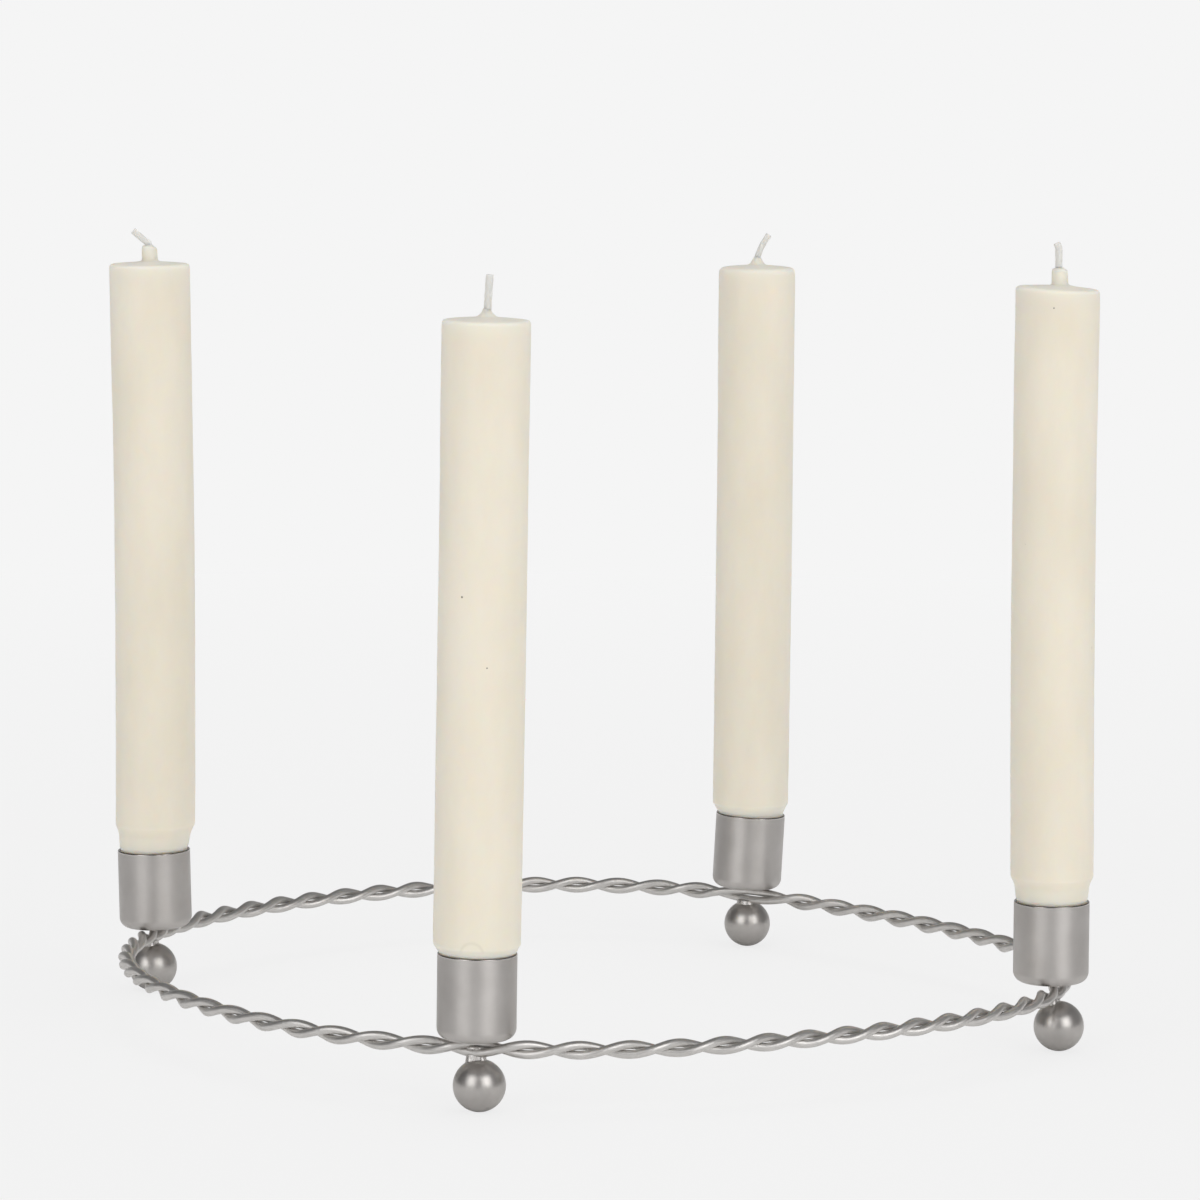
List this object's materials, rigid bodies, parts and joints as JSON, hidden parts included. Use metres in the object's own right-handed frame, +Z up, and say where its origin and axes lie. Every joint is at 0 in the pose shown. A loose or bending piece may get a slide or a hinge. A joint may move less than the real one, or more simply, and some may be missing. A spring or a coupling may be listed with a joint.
{
  "type": "advent candle holder",
  "caption": "Table candle ring of twisted steel wire on round ball feet, with plain steel cups that hold straight candles with tapered feet.",
  "frame": {"origin": "centre of the wire ring, on the table plane under the ball feet", "axes": "+Z up from the table, +X from the ring's centre to the right-hand cup, +Y to the back"},
  "size_m": [0.3328, 0.3213, 0.2576],
  "materials": {
    "ring_wire": "satin drawn wire",
    "cup_steel": "satin drawn sheet",
    "ball_steel": "semi-gloss",
    "weld_bead": "rough weld metal",
    "wax": "ivory wax, satin",
    "wick_cotton": "waxed braided cotton"
  },
  "bodies": {
    "holder": {"ring_strand_a": "ring_wire", "ring_strand_b": "ring_wire", "ball_foot_front": "ball_steel", "ball_weld_front": "weld_bead", "cup_weld_front": "weld_bead", "candle_cup_front": "cup_steel", "ball_foot_right": "ball_steel", "ball_weld_right": "weld_bead", "cup_weld_right": "weld_bead", "candle_cup_right": "cup_steel", "ball_foot_rear": "ball_steel", "ball_weld_rear": "weld_bead", "cup_weld_rear": "weld_bead", "candle_cup_rear": "cup_steel", "ball_foot_left": "ball_steel", "ball_weld_left": "weld_bead", "cup_weld_left": "weld_bead", "candle_cup_left": "cup_steel"},
    "front_candle": {"candle_front": "wax", "wick_front": "wick_cotton"},
    "right_candle": {"candle_right": "wax", "wick_right": "wick_cotton"},
    "rear_candle": {"candle_rear": "wax", "wick_rear": "wick_cotton"},
    "left_candle": {"candle_left": "wax", "wick_left": "wick_cotton"}
  },
  "joints": [
    {"name": "front_candle_lift", "type": "slide", "parent": "holder", "child": "front_candle", "axis": [0.0067, 0.002, 1], "range_m": [0, 0.04]},
    {"name": "right_candle_lift", "type": "slide", "parent": "holder", "child": "right_candle", "axis": [-0.01, -0.003, 0.9999], "range_m": [0, 0.04]},
    {"name": "rear_candle_lift", "type": "slide", "parent": "holder", "child": "rear_candle", "axis": [-0.0017, -0.0005, 1], "range_m": [0, 0.04]},
    {"name": "left_candle_lift", "type": "slide", "parent": "holder", "child": "left_candle", "axis": [-0.0117, -0.0035, 0.9999], "range_m": [0, 0.04]}
  ]
}
